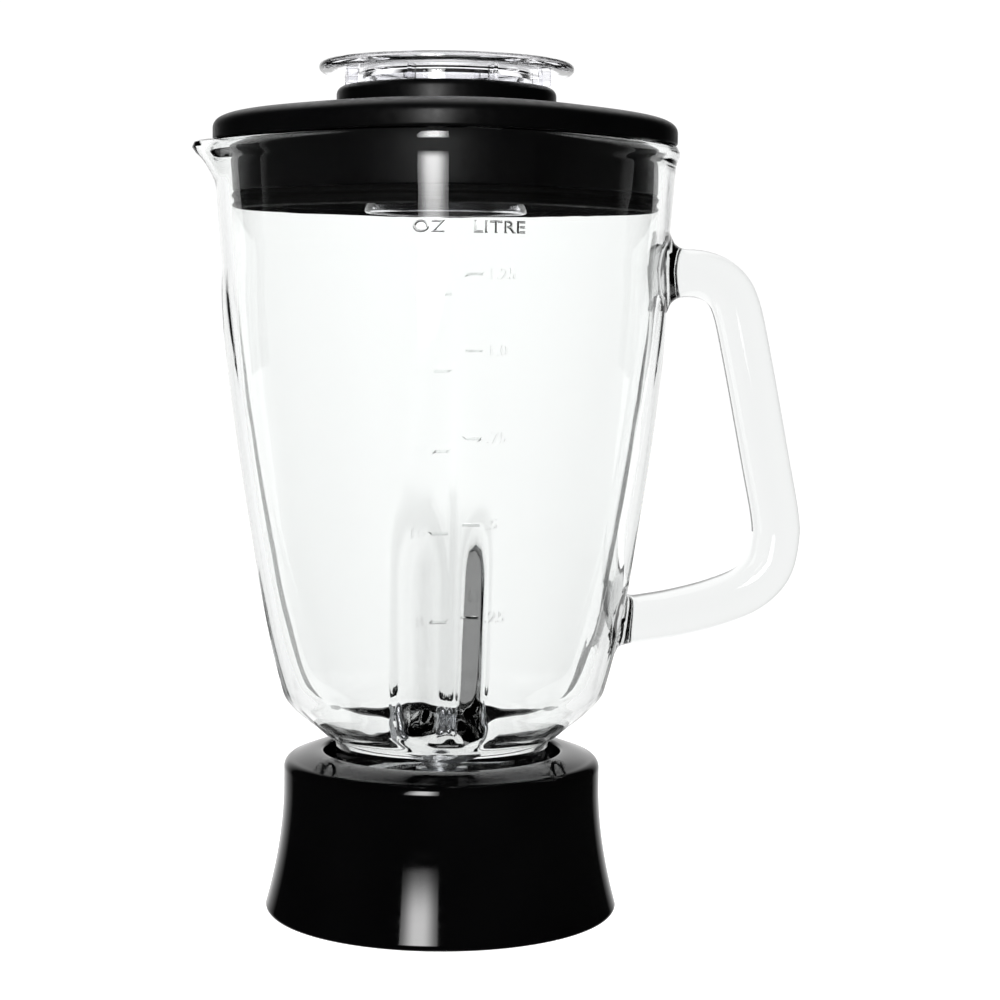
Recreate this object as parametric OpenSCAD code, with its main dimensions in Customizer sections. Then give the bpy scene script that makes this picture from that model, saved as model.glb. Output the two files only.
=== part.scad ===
// Glass blender jug on its screw-on base collar, with the blade unit, lid and measuring cap.
// Millimetres, +Z up. The origin is on the spindle's axis, in the plane the collar stands on.
// -X is the spout, +X the handle, -Y the corner that carries the scale.

/* [Jug] */
// Radius from the axis to a corner at the rim
rim_r = 69.9; // [68:0.1:72]
// Share of the corner radius by which the four sides are pulled in
side_pull = 0.09; // [0.04:0.01:0.1]
// Thickness of the glass near the rim
wall_top = 3.2; // [2.8:0.1:3.6]
// Thickness of the glass near the bottom
wall_low = 5.2; // [4.5:0.1:6]
// Radius of the round threaded foot
foot_r = 32.6; // [32:0.1:33]
// Radius of the opening in the foot
foot_bore_r = 28; // [27.6:0.1:28.4]
// How far the spout stands out past its corner
spout_out = 5.6; // [3:0.1:6]
// Points around each ring of the jug
jug_facets = 60; // [48:12:72]

/* [Flutes] */
// Half of a flute's greatest width
flute_half_w = 13.2; // [11:0.1:14]
// Depth of the flutes outside
flute_depth = 4; // [3:0.1:4.4]
// Height of the bulges behind the flutes inside
rib_depth = 2.6; // [2:0.1:4]
// Height of the rib inside the front and back corners
baffle_h = 6.5; // [4:0.5:7]
// Half of that rib's width
baffle_half_w = 8; // [6:0.5:9]
// How far the wall swells between the flutes
flute_swell = 2; // [1:0.1:2.4]

/* [Handle] */
// Thickness of the handle, seen from the front
handle_t = 14.6; // [12:0.1:15]
// Depth of the handle, seen from the side
handle_d = 19; // [15:0.5:22]

/* [Lid] */
// Radius from the axis to a corner of the lid
lid_r = 70.1; // [70:0.1:72]
// Radius of the raised neck around the cap
neck_r = 33.1; // [31:0.1:35]
// Radius of the cap's disc
cap_r = 38.4; // [36:0.1:40]

/* [Collar] */
// Radius of the collar's waist
waist_r = 48.5; // [48:0.1:49]
// How far the skirt flares out past the waist
flare = 5.7; // [5:0.1:6]
// Radius of the seat that drops over the motor base
seat_r = 48.6; // [48:0.1:48.8]
// Depth of that seat
seat_h = 8; // [6:0.5:8]

/* [Thread] */
// Rise of the jug for one full turn of its two-start thread
lead = 16; // [15:0.5:17]
// Height of a thread ridge
ridge_h = 1.6; // [1.2:0.1:1.7]

/* [Blades] */
// Radius of the lower blade's tips
lower_blade_r = 25.5; // [20:0.5:26]
// Radius of the upper blade's tips
upper_blade_r = 24; // [18:0.5:25]
// Thickness of the blades
blade_t = 1.6; // [1.2:0.1:2]

/* [Hidden] */
$fn = 96;
touch = 0.01;

// Heights
ledge_z = 29;
carrier_flange_t = 2.5;
gasket_t = 2;
foot_z = ledge_z + carrier_flange_t + gasket_t;
shoulder_z = 54.8;
bowl_z = 67.7;
rim_z = 234;
collar_top_z = 49.5;

// Collar
collar_wall = 2.6;
flare_z = 38;
flare_power = 1.85;
crown_r = waist_r - 2.2;
hole_r = 36.2;
sleeve_t = 2.4;
sleeve_z = 24;
ledge_t = 3.5;
ledge_r = 28;
rib_count = 8;
rib_t = 2;

// Blade unit
hub_r = 12;
hub_bore_r = 8;
hub_top_z = 38;
hub_low_z = 22;
dome_r = 27;
dome_z = 34.5;
carrier_r = 35.2;
housing_r = 7.95;
housing_bore_r = 6;
housing_flange_r = 11;
housing_top_z = 44;
housing_low_z = 17;
washer_t = 1;
spindle_r = 4;
spindle_top_r = 3;
running_gap = 0.04;
spindle_low_z = 9;
spindle_shoulder_z = 45;
spindle_top_z = 57;
flat_w = 4.6;
hub_disc_r = 8;

// Stack on the spindle's upper end
lower_blade_z = spindle_shoulder_z + washer_t;
spacer_z = lower_blade_z + blade_t;
spacer_t = 1.5;
upper_blade_z = spacer_z + spacer_t;
top_washer_z = upper_blade_z + blade_t;
nut_z = top_washer_z + washer_t;

// Lid
lid_facets = 72;
skirt_r = 64.2;
skirt_t = 2.4;
skirt_low_z = 215;
lid_edge_z = 241.4;
neck_top_z = 250.5;
cup_hole_r = 26;
guide_t = 2.4;
guide_low_z = 229;
seal_fit = 0.04;

// Cap
cup_r = 25.3;
cup_low_r = 24.3;
cup_t = 1.8;
cup_low_z = 212.5;
disc_z = 254.8;
disc_t = 3.1;
foot_count = 8;

GLASS = [0.86, 0.93, 0.92, 0.4];
BLACK = [0.06, 0.06, 0.065];
GLOSS_BLACK = [0.02, 0.02, 0.025];
RUBBER = [0.22, 0.22, 0.22];
STEEL = [0.72, 0.73, 0.75];
BRASS = [0.8, 0.66, 0.35];
CLEAR = [0.9, 0.9, 0.95, 0.35];

// ---- shared outlines ----

function bezier(a, b, c, d, t) =
    pow(1 - t, 3) * a + 3 * t * pow(1 - t, 2) * b + 3 * t * t * (1 - t) * c + pow(t, 3) * d;

// A rounded square seen from above, with its corners on the axes
function square_factor(angle, pull) = 1 - pull / 2 * (1 - cos(4 * angle));

module rounded_square(r, pull = side_pull) {
    polygon([for (i = [0:lid_facets - 1]) let (a = i * 360 / lid_facets)
        r * square_factor(a, pull) * [cos(a), sin(a)]]);
}

module ring(outer_r, inner_r, z, h) {
    translate([0, 0, z]) difference() {
        cylinder(r = outer_r, h = h);
        translate([0, 0, -1]) cylinder(r = inner_r, h = h + 2);
    }
}

// One helical ridge standing on a cylinder of radius base_r, with run-in ends
module thread_ridge(base_r, tip_r, z, start, sweep) {
    steps = 14;
    root_w = 3.4;
    tip_w = 1.6;
    sections = [for (i = [0:steps]) let (
        a = start + sweep * i / steps,
        zc = z + lead * sweep * i / steps / 360,
        full = (i == 0 || i == steps) ? 0.15 : 1,
        tip = base_r + (tip_r - base_r) * full,
        sink = base_r + (tip_r > base_r ? -0.8 : 0.8))
        [for (p = [[sink, -root_w / 2], [tip, -tip_w / 2], [tip, tip_w / 2], [sink, root_w / 2]])
            [p[0] * cos(a), p[0] * sin(a), zc + p[1]]]];
    points = [for (s = sections) each s];
    sides = [for (i = [0:steps - 1], j = [0:3]) let (k = (j + 1) % 4)
        each [[4 * i + j, 4 * i + k, 4 * i + 4 + j], [4 * i + k, 4 * i + 4 + k, 4 * i + 4 + j]]];
    ends = [[3, 2, 1], [3, 1, 0], [4 * steps, 4 * steps + 1, 4 * steps + 2],
        [4 * steps, 4 * steps + 2, 4 * steps + 3]];
    faces = concat(sides, ends);
    turned = [for (f = faces) [f[2], f[1], f[0]]];
    polyhedron(points, tip_r > base_r ? faces : turned);
}

// A closed skin over rings of n points each, the last ring joined back to the first
module ring_skin(points, n) {
    rows = len(points) / n;
    polyhedron(points, [for (r = [0:rows - 1], i = [0:n - 1])
        let (up = ((r + 1) % rows) * n, j = (i + 1) % n)
        each [[r * n + i, up + i, up + j], [r * n + i, up + j, r * n + j]]]);
}

// ---- jug ----

function clamp01(x) = min(1, max(0, x));

// Share of the swelling between the flutes at height z
swell_mid_z = 120;
swell_low_z = 58;
swell_high_z = 196;
function swell_share(z) =
    let (span = z > swell_mid_z ? swell_high_z - swell_mid_z : swell_mid_z - swell_low_z,
        u = clamp01(abs(z - swell_mid_z) / span))
    pow(1 - pow(u, 4), 0.77);

// A flute runs up to a point and ends below in an arch. Its width is a share of its widest
flute_top_z = 195;
flute_wide_z = 100;
flute_end_z = 58.8;
rib_half_w = 13.6;
rib_end_z = 57;
function flute_width(z) =
    let (up = clamp01((z - flute_wide_z) / (flute_top_z - flute_wide_z)),
        down = clamp01((flute_wide_z - z) / (flute_wide_z - flute_end_z)))
    pow(1 - up * up, 0.7) * pow(1 - pow(down, 6), 0.6);

// Share of the full depth: deepest at the bowl, running out at the top and over the bowl's curve
function depth_share(z, end_z) =
    let (rise = clamp01((z - bowl_z) / (flute_top_z - bowl_z)))
    pow(1 - rise * rise, 1.3) * pow(clamp01((z - end_z) / 9), 0.8);

function corner_distance(angle, r) = r * sin(((angle + 45) % 90) - 45);

// Inward push of the nearest flute outside, and of the bulge behind it inside
function flute_push(angle, r, z) =
    let (half = max(0.5, flute_half_w * flute_width(z)))
    flute_depth * depth_share(z, flute_end_z)
        * max(0, 1 - pow(corner_distance(angle, r) / half, 2));
function rib_push(angle, r, z) =
    rib_depth * depth_share(z, rib_end_z)
        * pow(clamp01(1 - pow(corner_distance(angle, r) / rib_half_w, 2)), 1.3);

// A steep rib inside the front and back corners, which throws the food back on to the blades
baffle_top_z = 124;
baffle_run = 14;
baffle_top_w = 2.4;
function eased(x) = x * x * (3 - 2 * x);
function baffle_push(angle, r, z) =
    let (across = abs(corner_distance(angle, r)),
        flank = clamp01((baffle_half_w - across) / (baffle_half_w - baffle_top_w)),
        share = clamp01((baffle_top_z - z) / baffle_run) * clamp01((z - rib_end_z) / 6))
    abs(sin(angle)) > 0.7 ? baffle_h * eased(share) * eased(flank) : 0;

// Outward push of the spout
spout_low_z = 221;
spout_half_w = 11;
function spout_push(angle, r, z) =
    let (rise = clamp01((z - spout_low_z) / (rim_z - 2 - spout_low_z)),
        s = cos(angle) < 0 ? r * sin(angle) : 99)
    spout_out * pow(rise, 1.25) * exp(-pow(s / spout_half_w, 2) * 1.6);

function wall(z) = wall_low + (wall_top - wall_low) * min(1, (z - bowl_z) / (rim_z - bowl_z));

// Each ring is [corner radius, height]
function side_point(t) = bezier([48.8, bowl_z], [49.7, 71], [62, 110], [rim_r, 231], t);
function bowl_point(t) = bezier([36.2, shoulder_z], [41, 58.8], [46.8, 63.6], [48.8, bowl_z], t);
function pull_at(z) = side_pull * clamp01((z - shoulder_z) / 60);

outer_rings = concat(
    [[foot_r, foot_z], [foot_r, 51], [33.4, 53.2]],
    [for (t = [0, 0.35, 0.7]) bowl_point(t)],
    [for (i = [0:9]) side_point(i / 9.4)],
    [side_point(0.975)],
    [[rim_r - 0.2, 228.5], [rim_r + 0.9, 230.6], [rim_r + 0.9, 232.4], [rim_r - 0.4, rim_z]]);
inner_rings = concat(
    [[rim_r - 2.2, rim_z], [rim_r - wall_top, 232.8], [rim_r - wall_top - 0.4, 226]],
    [for (i = [16:-1:0]) let (p = side_point(i / 18)) [p[0] - wall(p[1]), p[1] + 4 * (1 - i / 18)]],
    [[40.6, 66.2], [34, 60], [29.6, 55.6], [foot_bore_r, 52], [foot_bore_r, foot_z]]);

function ring_points(rings, outside) = [for (p = rings, i = [0:jug_facets - 1])
    let (a = i * 360 / jug_facets,
        wide = p[0] + flute_swell * swell_share(p[1]),
        push = outside ? flute_push(a, wide, p[1])
            : rib_push(a, wide, p[1]) + baffle_push(a, wide, p[1]),
        r = wide * square_factor(a, pull_at(p[1])) - push + spout_push(a, wide, p[1]))
    [r * cos(a), r * sin(a), p[1]]];

module jug_wall()
    ring_skin(concat(ring_points(outer_rings, true), ring_points(inner_rings, false)), jug_facets);

// The handle's centre line in the XZ plane: out of the wall, round the top bend, down the grip,
// round the lower bend and back into the wall
handle_path = [[68.5, 195.8], [79, 195.6], [85.4, 192.6], [89.4, 186.2], [92.8, 171],
    [99.1, 139.4], [102.7, 122], [103.1, 114], [100.8, 105.2], [94.6, 98.6], [84, 94.4],
    [72, 91.4], [55, 88.9]];

module handle_section(at) {
    translate([at[0], 0, at[1]]) scale([handle_t / handle_d, 1, handle_t / handle_d])
        sphere(d = handle_d, $fn = 16);
}

module handle() {
    for (i = [0:len(handle_path) - 2]) hull() {
        handle_section(handle_path[i]);
        handle_section(handle_path[i + 1]);
    }
}

module glass_jug() color(GLASS) {
    difference() {
        union() {
            jug_wall();
            handle();
        }
        // keeps the handle's upper root out of the hollow
        translate([40, -12, 186]) cube([22.2, 24, 20]);
    }
    for (start = [0, 180])
        thread_ridge(foot_r, foot_r + ridge_h, 37, start, 200);
}

module jug_gasket() color(RUBBER)
    ring(34.4, foot_bore_r + 0.6, ledge_z + carrier_flange_t, gasket_t);

// ---- collar ----

function skirt_outer(z) = waist_r + flare * pow(max(0, 1 - z / flare_z), flare_power);

module base_collar() color(GLOSS_BLACK) {
    outside = concat(
        [[skirt_outer(0) - 0.9, 0], [skirt_outer(0) - 0.2, 0.7]],
        [for (z = [3:5:flare_z]) [skirt_outer(z), z]],
        [[waist_r, 43]],
        [for (a = [0:15:75]) [crown_r + (waist_r - crown_r) * cos(a), 44.6 + 3 * sin(a)]],
        [for (t = [0:0.25:1]) [crown_r - t * (crown_r - hole_r - 1.2), 47.6 + 1.9 * sin(90 * t)]]);
    inside = concat(
        [[hole_r, collar_top_z - 0.8], [hole_r, ledge_z], [ledge_r, ledge_z],
            [ledge_r, ledge_z - ledge_t], [hole_r - 1, ledge_z - ledge_t], [hole_r + 0.6, sleeve_z],
            [hole_r + sleeve_t, sleeve_z], [hole_r + sleeve_t, collar_top_z - 4.4],
            [crown_r - 1.5, 44.2], [waist_r - collar_wall, 42]],
        [for (z = [flare_z:-7:17]) [skirt_outer(z) - collar_wall, z]],
        [[seat_r - 1.2, seat_h + 2.4], [seat_r, seat_h], [seat_r, 0]]);
    rotate_extrude($fn = 128) polygon(concat(outside, inside));
    for (i = [0:rib_count - 1]) rotate([0, 0, 22.5 + i * 360 / rib_count])
        translate([hole_r + sleeve_t - 0.8, -rib_t / 2, sleeve_z + 3])
            cube([waist_r - collar_wall - hole_r - sleeve_t + 2.2, rib_t, 18]);
    for (start = [90, 270])
        thread_ridge(hole_r, hole_r - ridge_h, 37, start, 180);
}

// ---- blade unit ----

module blade_carrier() color(BLACK) {
    flange_top = ledge_z + carrier_flange_t;
    rotate_extrude() polygon([
        [hub_bore_r, hub_low_z], [hub_r, hub_low_z], [hub_r, 30], [hub_r + 2, 32.4],
        [dome_r - 4.4, 31.2], [dome_r - 3.4, ledge_z], [carrier_r, ledge_z], [carrier_r, flange_top],
        [dome_r, flange_top], [dome_r, dome_z - 1.2], [dome_r - 1.2, dome_z],
        [hub_r + 2.6, 35.6], [hub_r, hub_top_z], [hub_bore_r, hub_top_z]]);
}

module bearing_housing() color(STEEL) {
    flange_z = hub_top_z + washer_t;
    rotate_extrude() polygon([
        [housing_bore_r, housing_low_z], [housing_r, housing_low_z], [housing_r, flange_z],
        [housing_flange_r, flange_z], [housing_flange_r, flange_z + 2],
        [housing_r + 0.5, flange_z + 2.4], [housing_r, housing_top_z], [4.8, housing_top_z],
        [4.8, housing_top_z - 1], [housing_bore_r, housing_top_z - 1]]);
}

module housing_washer() color(RUBBER)
    ring(housing_flange_r - 0.2, housing_r, hub_top_z, washer_t);

module housing_nut() color(STEEL) translate([0, 0, hub_low_z - 4]) difference() {
    cylinder(r = 12.1, h = 4, $fn = 6);
    translate([0, 0, -1]) cylinder(r = housing_r, h = 6);
}

module bushing(z) {
    ring(housing_bore_r, spindle_r + running_gap, z, 9);
}

module upper_bushing() color(BRASS) bushing(30);

module lower_bushing() color(BRASS) bushing(housing_low_z);

module shaft_seal() color(RUBBER) rotate_extrude() polygon([
    [spindle_r + running_gap, 42.6], [spindle_r + 0.7, 40.2], [housing_bore_r, 39.6],
    [housing_bore_r, 43], [spindle_r + 0.7, 43]]);

// A round bar with two flats, as on the spindle's end and in everything that it drives
module two_flats(r, w, z, h) {
    translate([0, 0, z]) intersection() {
        cylinder(r = r, h = h);
        translate([-r, -w / 2, 0]) cube([2 * r, w, h]);
    }
}

groove_z = 15;

module spindle() color(STEEL) {
    difference() {
        translate([0, 0, spindle_low_z])
            cylinder(r = spindle_r, h = spindle_shoulder_z - spindle_low_z);
        ring(spindle_r + 1, spindle_r - 0.5, groove_z, 1);
    }
    two_flats(spindle_top_r, flat_w, spindle_shoulder_z - touch, nut_z - spindle_shoulder_z + touch);
    translate([0, 0, nut_z - touch])
        cylinder(r = spindle_top_r - 0.3, h = spindle_top_z - nut_z + touch);
}

module thrust_washer() color(BRASS)
    ring(7, spindle_r, groove_z + 1, washer_t - 0.1);

module retaining_ring() color(STEEL) difference() {
    ring(6.2, spindle_r - 0.5, groove_z, 1);
    translate([0, -1.6, groove_z - 1]) cube([8, 3.2, 3]);
}

module coupling_insert() color(STEEL)
    ring(7, spindle_r, spindle_low_z, groove_z - spindle_low_z - 0.4);

module drive_coupling() color(RUBBER) {
    lobes = 6;
    translate([0, 0, spindle_low_z]) difference() {
        linear_extrude(groove_z - spindle_low_z - 0.4) union() {
            circle(r = 10.5);
            for (i = [0:lobes - 1]) rotate([0, 0, i * 360 / lobes]) {
                translate([8, -2.2]) square([6, 4.4]);
                translate([14, 0]) circle(r = 2.2, $fn = 40);
            }
        }
        translate([0, 0, -1]) cylinder(r = 7, h = 10);
    }
}

module blade_hub_hole() {
    two_flats(spindle_top_r, flat_w, -1, blade_t + 2);
}

// One blade arm: a tapered plate from the hub disc outwards, bent up by bend degrees, ground
// to an edge on its leading side
module blade_arm(tip_r, bend) {
    bend_x = 8.5;
    reach = tip_r - bend_x;
    linear_extrude(blade_t) polygon([[0, -4.5], [bend_x, -4.2], [bend_x, 4.2], [0, 4.5]]);
    translate([bend_x, 0, blade_t / 2]) rotate([0, -bend, 0]) translate([-0.4, 0, -blade_t / 2])
        difference() {
            linear_extrude(blade_t) polygon([
                [0, -4.2], [reach * 0.7, -3.8], [reach, -1.4], [reach, 2.6], [0, 4.2]]);
            translate([2, -4.6, blade_t * 0.45]) rotate([24, 0, 0]) translate([0, -4, 0])
                cube([reach + 2, 6, 4]);
        }
}

module blade(tip_r, bend, z, turn) {
    translate([0, 0, z]) rotate([0, 0, turn]) difference() {
        union() {
            cylinder(r = hub_disc_r, h = blade_t);
            blade_arm(tip_r, bend);
            rotate([0, 0, 180]) blade_arm(tip_r, bend);
        }
        rotate([0, 0, -turn]) blade_hub_hole();
    }
}

module shoulder_washer() color(STEEL)
    ring(6.4, spindle_top_r, spindle_shoulder_z, washer_t);

module lower_blade() color(STEEL) blade(lower_blade_r, -10, lower_blade_z, 20);

module blade_spacer() color(STEEL)
    ring(6.4, spindle_top_r, spacer_z, spacer_t);

module upper_blade() color(STEEL) blade(upper_blade_r, 22, upper_blade_z, 110);

module blade_washer() color(STEEL)
    ring(6, spindle_top_r, top_washer_z, washer_t);

module blade_nut() color(STEEL) difference() {
    union() {
        translate([0, 0, nut_z]) cylinder(r = 5.7, h = 4.6, $fn = 6);
        translate([0, 0, nut_z + 4.6 - touch]) intersection() {
            sphere(r = 4.8);
            cylinder(r = 6, h = 6);
        }
    }
    translate([0, 0, nut_z - 1]) cylinder(r = spindle_top_r - 0.3, h = 1 + spindle_top_z - nut_z);
}

// ---- lid ----

// From the skirt's lower edge up its outside, over the flange to the neck, and back down inside.
// Each ring is [corner radius, height, side pull]
lid_rings = let (low = skirt_low_z, seat = low + 3.6, top = lid_edge_z, plate = top - 3) [
    [skirt_r - 1.2, low, side_pull], [skirt_r - 1.2, seat, side_pull],
    [skirt_r, seat, side_pull], [skirt_r, rim_z, side_pull],
    [lid_r - 0.8, rim_z, side_pull], [lid_r, rim_z + 1, side_pull],
    [lid_r, top - 2.4, side_pull], [lid_r - 0.8, top - 0.8, side_pull],
    [lid_r - 2.8, top, side_pull], [neck_r - 2, top + 1, 0],
    [cup_hole_r + guide_t / 2, top + 1, 0], [cup_hole_r + guide_t / 2, plate, 0],
    [skirt_r - skirt_t, plate, side_pull], [skirt_r - skirt_t, low, side_pull]];

module lid_cover() color(BLACK) {
    ring_skin([for (p = lid_rings, i = [0:lid_facets - 1])
        let (a = i * 360 / lid_facets, r = p[0] * square_factor(a, p[2]))
        [r * cos(a), r * sin(a), p[1]]], lid_facets);
    rotate_extrude() polygon(concat(
        [[cup_hole_r, guide_low_z], [cup_hole_r + guide_t, guide_low_z],
            [cup_hole_r + guide_t, lid_edge_z - 1.5], [neck_r, lid_edge_z - 1.5]],
        [for (a = [0:22.5:90]) [neck_r - 2 + 2 * cos(a), neck_top_z - 2 + 2 * sin(a)]],
        [[cup_hole_r + 0.8, neck_top_z], [cup_hole_r, neck_top_z - 0.8]]));
}

module lid_seal() color(RUBBER) translate([0, 0, skirt_low_z - 1.5]) {
    linear_extrude(1.5) difference() {
        rounded_square(skirt_r + 0.2);
        rounded_square(skirt_r - skirt_t);
    }
    translate([0, 0, 1.5]) linear_extrude(3.6 - seal_fit) difference() {
        rounded_square(skirt_r + 0.2);
        rounded_square(skirt_r - 1.2 + seal_fit);
    }
}

// ---- measuring cap ----

module measuring_cap() color(CLEAR) {
    foot_in_r = 29;
    rotate_extrude() polygon(concat(
        [[cup_low_r - cup_t, cup_low_z], [cup_low_r, cup_low_z], [cup_r, neck_top_z],
            [cup_r, disc_z], [cap_r - 1, disc_z]],
        [for (a = [-60:30:60]) [cap_r - 1.2 + 1.2 * cos(a), disc_z + 1.5 + 1.4 * sin(a)]],
        [[cap_r - 1.4, disc_z + disc_t], [cup_r, disc_z + disc_t], [cup_r - 2, disc_z + disc_t - 1],
            [0, disc_z + disc_t - 1], [0, disc_z - 0.6], [cup_r - cup_t, disc_z - 0.6]]));
    for (i = [0:foot_count - 1]) rotate([0, 0, 22.5 + i * 360 / foot_count])
        translate([foot_in_r, -0.7, neck_top_z + 0.1])
            cube([3.6, 1.4, disc_z - neck_top_z + 0.3]);
}

glass_jug();
jug_gasket();
base_collar();
blade_carrier();
bearing_housing();
housing_washer();
housing_nut();
upper_bushing();
lower_bushing();
shaft_seal();
spindle();
thrust_washer();
retaining_ring();
coupling_insert();
drive_coupling();
shoulder_washer();
lower_blade();
blade_spacer();
upper_blade();
blade_washer();
blade_nut();
lid_cover();
lid_seal();
measuring_cap();
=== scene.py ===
"""The looks of a glass blender jug on its screw-on collar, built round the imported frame.

Shapes are worked out in millimetres in the row frame and turned into metres when a mesh is made.
-X is the spout, +X the handle, -Y the corner that carries the scale.
"""
import math

import bmesh
import bpy
import numpy as np
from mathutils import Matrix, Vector


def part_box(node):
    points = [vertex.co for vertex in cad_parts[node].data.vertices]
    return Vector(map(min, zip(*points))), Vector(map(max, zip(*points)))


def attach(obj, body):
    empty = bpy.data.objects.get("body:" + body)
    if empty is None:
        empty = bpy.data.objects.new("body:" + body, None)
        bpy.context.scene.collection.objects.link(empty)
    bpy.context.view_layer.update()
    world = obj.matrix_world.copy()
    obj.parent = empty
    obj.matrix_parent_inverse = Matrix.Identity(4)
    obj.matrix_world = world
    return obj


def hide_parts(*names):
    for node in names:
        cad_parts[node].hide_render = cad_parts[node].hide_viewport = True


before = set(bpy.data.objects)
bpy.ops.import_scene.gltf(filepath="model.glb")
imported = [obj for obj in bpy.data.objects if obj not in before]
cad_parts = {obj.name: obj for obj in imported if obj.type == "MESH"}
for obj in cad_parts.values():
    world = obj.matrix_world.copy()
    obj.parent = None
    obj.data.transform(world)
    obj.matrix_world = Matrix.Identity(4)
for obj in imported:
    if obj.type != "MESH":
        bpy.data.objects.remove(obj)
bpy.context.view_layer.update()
MM = 0.001


def node_box(node):
    """Lowest and highest corner of a CAD node, in millimetres."""
    lo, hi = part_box(node)
    return Vector(lo) / MM, Vector(hi) / MM


# ---------------------------------------------------------------- camera and surroundings

CAMERA_DISTANCE = 0.703
CAMERA_HEIGHT = 0.184
CAMERA_AZIMUTH = math.radians(-3.2)
CAMERA_PITCH = math.radians(-4.70)
CAMERA_YAW = math.radians(-1.36)
CAMERA_ROLL = math.radians(-0.54)
CAMERA_LENS = 83.0


def make_camera():
    data = bpy.data.cameras.new("camera")
    data.lens = CAMERA_LENS
    data.sensor_width = 36.0
    data.clip_start = 0.02
    data.clip_end = 60.0
    camera = bpy.data.objects.new("camera", data)
    bpy.context.scene.collection.objects.link(camera)
    camera.location = (
        CAMERA_DISTANCE * math.sin(CAMERA_AZIMUTH),
        -CAMERA_DISTANCE * math.cos(CAMERA_AZIMUTH),
        CAMERA_HEIGHT,
    )
    camera.rotation_mode = "XYZ"
    camera.rotation_euler = (
        math.pi / 2 + CAMERA_PITCH,
        CAMERA_ROLL,
        CAMERA_AZIMUTH + CAMERA_YAW,
    )
    bpy.context.scene.camera = camera


# Half-widths and places in degrees from the +Y direction, behind the object
BACKDROP_HALF = 28
BACKDROP_SOFT = 12
AROUND_FROM, AROUND_TO = -90, 200
DARK_LEVEL = 0.012
BACKDROP_LEVEL = 1.0
SEEN_LEVEL = 1.05
THROUGH_LEVEL = 1.38
THROUGH_HALF = 0.75
THROUGH_SOFT = 0.06
FORWARD_HALF = 75
FORWARD_SOFT = 5
RETURN_FROM = 120
RETURN_SOFT = 6
RETURN_LEVEL = 0.5


def make_world():
    """A studio: a bright backdrop behind the object and darkness in front of it, so that black parts
    mirror only the backdrop and the lamps. What is seen straight through glass is white all
    round, but dark overhead and underfoot. Light that leaves the glass towards -Y after two
    reflections inside it meets a grey front."""
    world = bpy.data.worlds.new("studio")
    bpy.context.scene.world = world
    world.use_nodes = True
    nodes, links = world.node_tree.nodes, world.node_tree.links
    nodes.clear()

    def feed(socket, value):
        if isinstance(value, (int, float)):
            socket.default_value = value
        else:
            links.new(value, socket)

    def calc(operation, *inputs, clamp=False):
        node = nodes.new("ShaderNodeMath")
        node.operation = operation
        node.use_clamp = clamp
        for socket, value in zip(node.inputs, inputs):
            feed(socket, value)
        return node.outputs[0]

    def mix(factor, low, high):
        node = nodes.new("ShaderNodeMix")
        node.data_type = "FLOAT"
        for socket, value in zip(node.inputs, (factor, None, low, high)):
            if value is not None:
                feed(socket, value)
        return node.outputs[0]

    def band(value, low, high, soft):
        """1 between low and high, 0 outside, with soft edges."""
        rise = calc("DIVIDE", calc("SUBTRACT", value, low - soft), 2 * soft, clamp=True)
        fall = calc("DIVIDE", calc("SUBTRACT", high + soft, value), 2 * soft, clamp=True)
        return calc("MULTIPLY", rise, fall)

    coords = nodes.new("ShaderNodeTexCoord")
    split = nodes.new("ShaderNodeSeparateXYZ")
    links.new(coords.outputs["Generated"], split.inputs[0])
    x, y, z = split.outputs
    aside = calc("MULTIPLY", calc("ABSOLUTE", calc("ARCTAN2", x, y)), 180 / math.pi)

    path = nodes.new("ShaderNodeLightPath")
    shallow = calc("LESS_THAN", path.outputs["Transmission Depth"], 2.5)
    twice = calc("GREATER_THAN", path.outputs["Glossy Depth"], 1.5)
    inside = calc("MULTIPLY", path.outputs["Is Transmission Ray"], calc("MULTIPLY", shallow, twice))
    returned = calc("MULTIPLY", inside, band(aside, RETURN_FROM, AROUND_TO, RETURN_SOFT))
    ahead = mix(returned, DARK_LEVEL, RETURN_LEVEL)
    backdrop = band(aside, AROUND_FROM, BACKDROP_HALF, BACKDROP_SOFT)
    mirrored = mix(backdrop, ahead, BACKDROP_LEVEL)

    bounces = calc("ADD", path.outputs["Glossy Depth"], path.outputs["Diffuse Depth"])
    forward = band(aside, AROUND_FROM, FORWARD_HALF, FORWARD_SOFT)
    unmirrored = calc("MAXIMUM", forward, calc("LESS_THAN", bounces, 0.5))
    straight = calc("MULTIPLY", path.outputs["Is Transmission Ray"], unmirrored)
    level = band(z, -THROUGH_HALF, THROUGH_HALF, THROUGH_SOFT)
    through = mix(level, DARK_LEVEL, THROUGH_LEVEL)
    lit = mix(straight, mirrored, through)
    seen = mix(path.outputs["Is Camera Ray"], lit, SEEN_LEVEL)
    background = nodes.new("ShaderNodeBackground")
    background.inputs["Color"].default_value = (1, 1, 1, 1)
    links.new(seen, background.inputs["Strength"])
    output = nodes.new("ShaderNodeOutputWorld")
    links.new(background.outputs[0], output.inputs[0])


STRIP = {
    "azimuth": -17,
    "low": 0.04,
    "high": 0.95,
    "distance": 1.0,
    "width": 0.42,
    "radiance": 22.0,
}
# Shares of the softbox's height and width over which it fades, and its strength at the edges
FADE_HEIGHT = 0.17
FADE_LEVEL = 0.15
EDGE_LEVEL = 0.2
EDGE_SHARE = 0.42


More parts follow.
